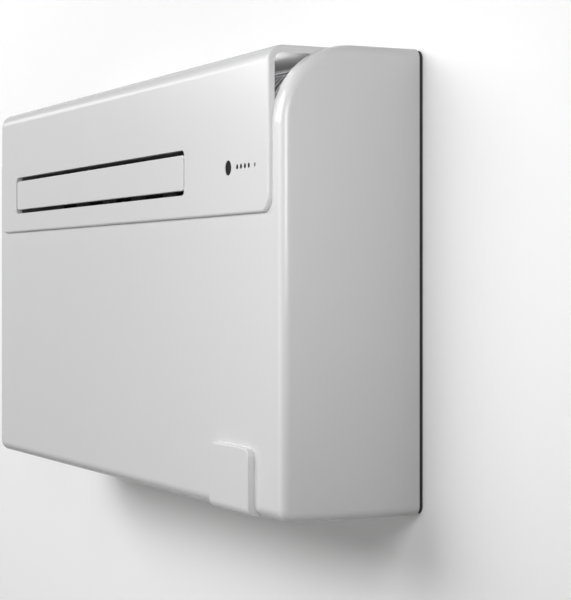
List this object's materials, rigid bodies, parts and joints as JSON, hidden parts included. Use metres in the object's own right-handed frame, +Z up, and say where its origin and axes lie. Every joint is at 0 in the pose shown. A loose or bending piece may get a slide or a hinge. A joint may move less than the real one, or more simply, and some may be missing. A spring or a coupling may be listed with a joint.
{
  "type": "through-wall air conditioner",
  "caption": "Slim wall-hung air conditioner in one white box with a proud bent hood, a long outlet flap, slide-out filters and two rear duct collars through the wall.",
  "frame": {"origin": "on the wall plane, at the middle of the wall bracket's four bolt holes", "axes": "+X to the right seen from the room, +Y into the wall, +Z up"},
  "size_m": [0.978, 0.193, 0.491],
  "materials": {
    "case_white": "satin",
    "trim_dark": "satin",
    "inner_grey": "matt",
    "seal_rubber": "matt",
    "sheet_steel": "galvanised",
    "fin_aluminium": "mill finish",
    "copper": "drawn tube",
    "black_metal": "satin",
    "motor_metal": "satin",
    "lens_black": "gloss",
    "board_green": "matt",
    "filter_white": "matt",
    "mesh_grey": "woven"
  },
  "bodies": {
    "case": {"front_shell": "case_white", "hood": "case_white", "corner_tag": "case_white", "hood_grille": "trim_dark", "top_grille": "case_white", "outlet_duct": "inner_grey", "scroll_casing": "inner_grey", "fan_motor": "motor_metal", "motor_clamp": "inner_grey", "fan_bearing": "seal_rubber", "evaporator_coil": "fin_aluminium", "drip_tray": "inner_grey", "drain_spout": "inner_grey", "partition": "sheet_steel", "back_panel": "sheet_steel", "wall_bracket": "sheet_steel", "rear_gasket": "seal_rubber", "intake_collar": "inner_grey", "exhaust_collar": "inner_grey", "fan_shroud": "inner_grey", "exhaust_motor": "motor_metal", "base_pan": "sheet_steel", "condenser_coil": "fin_aluminium", "motor_bracket": "sheet_steel", "air_divider": "sheet_steel", "compressor": "black_metal", "compressor_grommets": "seal_rubber", "accumulator": "black_metal", "suction_pipe": "copper", "discharge_pipe": "copper", "liquid_pipe": "copper", "control_box": "sheet_steel", "control_board": "board_green", "run_capacitor": "motor_metal", "display_board": "board_green", "ir_window": "lens_black", "led_lenses": "lens_black", "flap_motor": "motor_metal", "flap_bush": "inner_grey", "cable_gland": "seal_rubber", "cover_screws": "sheet_steel"},
    "flap_body": {"flap": "case_white"},
    "crossflow_body": {"crossflow_fan": "trim_dark"},
    "exhaust_fan_body": {"exhaust_fan": "trim_dark"},
    "filter_left_body": {"filter_left": "filter_white", "filter_left_mesh": "mesh_grey"},
    "filter_right_body": {"filter_right": "filter_white", "filter_right_mesh": "mesh_grey"},
    "button_body": {"reset_button": "trim_dark"},
    "vane_link_body": {"vane_link": "inner_grey"},
    "vane_1_body": {"vane_1": "inner_grey"},
    "vane_2_body": {"vane_2": "inner_grey"},
    "vane_3_body": {"vane_3": "inner_grey"},
    "vane_4_body": {"vane_4": "inner_grey"},
    "vane_5_body": {"vane_5": "inner_grey"},
    "vane_6_body": {"vane_6": "inner_grey"}
  },
  "joints": [
    {"name": "flap_hinge", "type": "hinge", "parent": "case", "child": "flap_body", "pos_m": [-0.076, -0.1545, 0.0696], "axis": [-1, 0, 0], "range_deg": [0, 80]},
    {"name": "fan_spin", "type": "hinge", "parent": "case", "child": "crossflow_body", "pos_m": [-0.076, -0.0794, 0.0775], "axis": [1, 0, 0], "continuous": true},
    {"name": "exhaust_spin", "type": "hinge", "parent": "case", "child": "exhaust_fan_body", "pos_m": [0.1465, -0.045, -0.15], "axis": [0, 1, 0], "continuous": true},
    {"name": "filter_left_slide", "type": "slide", "parent": "case", "child": "filter_left_body", "axis": [0, 0, 1], "range_m": [0, 0.16]},
    {"name": "filter_right_slide", "type": "slide", "parent": "case", "child": "filter_right_body", "axis": [0, 0, 1], "range_m": [0, 0.16]},
    {"name": "button_press", "type": "slide", "parent": "case", "child": "button_body", "axis": [0, 1, 0], "range_m": [0, 0.001], "stiffness_N_per_m": 300},
    {"name": "vane_1_swing", "type": "hinge", "parent": "case", "child": "vane_1_body", "pos_m": [-0.3411, -0.1234, 0.0696], "axis": [0, 0, 1], "range_deg": [-30, 30]},
    {"name": "vane_2_swing", "type": "hinge", "parent": "case", "child": "vane_2_body", "pos_m": [-0.2351, -0.1234, 0.0696], "axis": [0, 0, 1], "range_deg": [-30, 30]},
    {"name": "vane_3_swing", "type": "hinge", "parent": "case", "child": "vane_3_body", "pos_m": [-0.1291, -0.1234, 0.0696], "axis": [0, 0, 1], "range_deg": [-30, 30]},
    {"name": "vane_4_swing", "type": "hinge", "parent": "case", "child": "vane_4_body", "pos_m": [-0.0231, -0.1234, 0.0696], "axis": [0, 0, 1], "range_deg": [-30, 30]},
    {"name": "vane_5_swing", "type": "hinge", "parent": "case", "child": "vane_5_body", "pos_m": [0.0829, -0.1234, 0.0696], "axis": [0, 0, 1], "range_deg": [-30, 30]},
    {"name": "vane_6_swing", "type": "hinge", "parent": "case", "child": "vane_6_body", "pos_m": [0.1889, -0.1234, 0.0696], "axis": [0, 0, 1], "range_deg": [-30, 30]},
    {"name": "vane_link_slide", "type": "slide", "parent": "case", "child": "vane_link_body", "axis": [1, 0, 0], "range_m": [-0.0042, 0.0042]}
  ],
  "couplings": [
    {"joint": "vane_2_swing", "follows": "vane_1_swing", "ratio": 1},
    {"joint": "vane_3_swing", "follows": "vane_1_swing", "ratio": 1},
    {"joint": "vane_4_swing", "follows": "vane_1_swing", "ratio": 1},
    {"joint": "vane_5_swing", "follows": "vane_1_swing", "ratio": 1},
    {"joint": "vane_6_swing", "follows": "vane_1_swing", "ratio": 1},
    {"joint": "vane_link_slide", "follows": "vane_1_swing", "m_per_rad": -0.008}
  ]
}
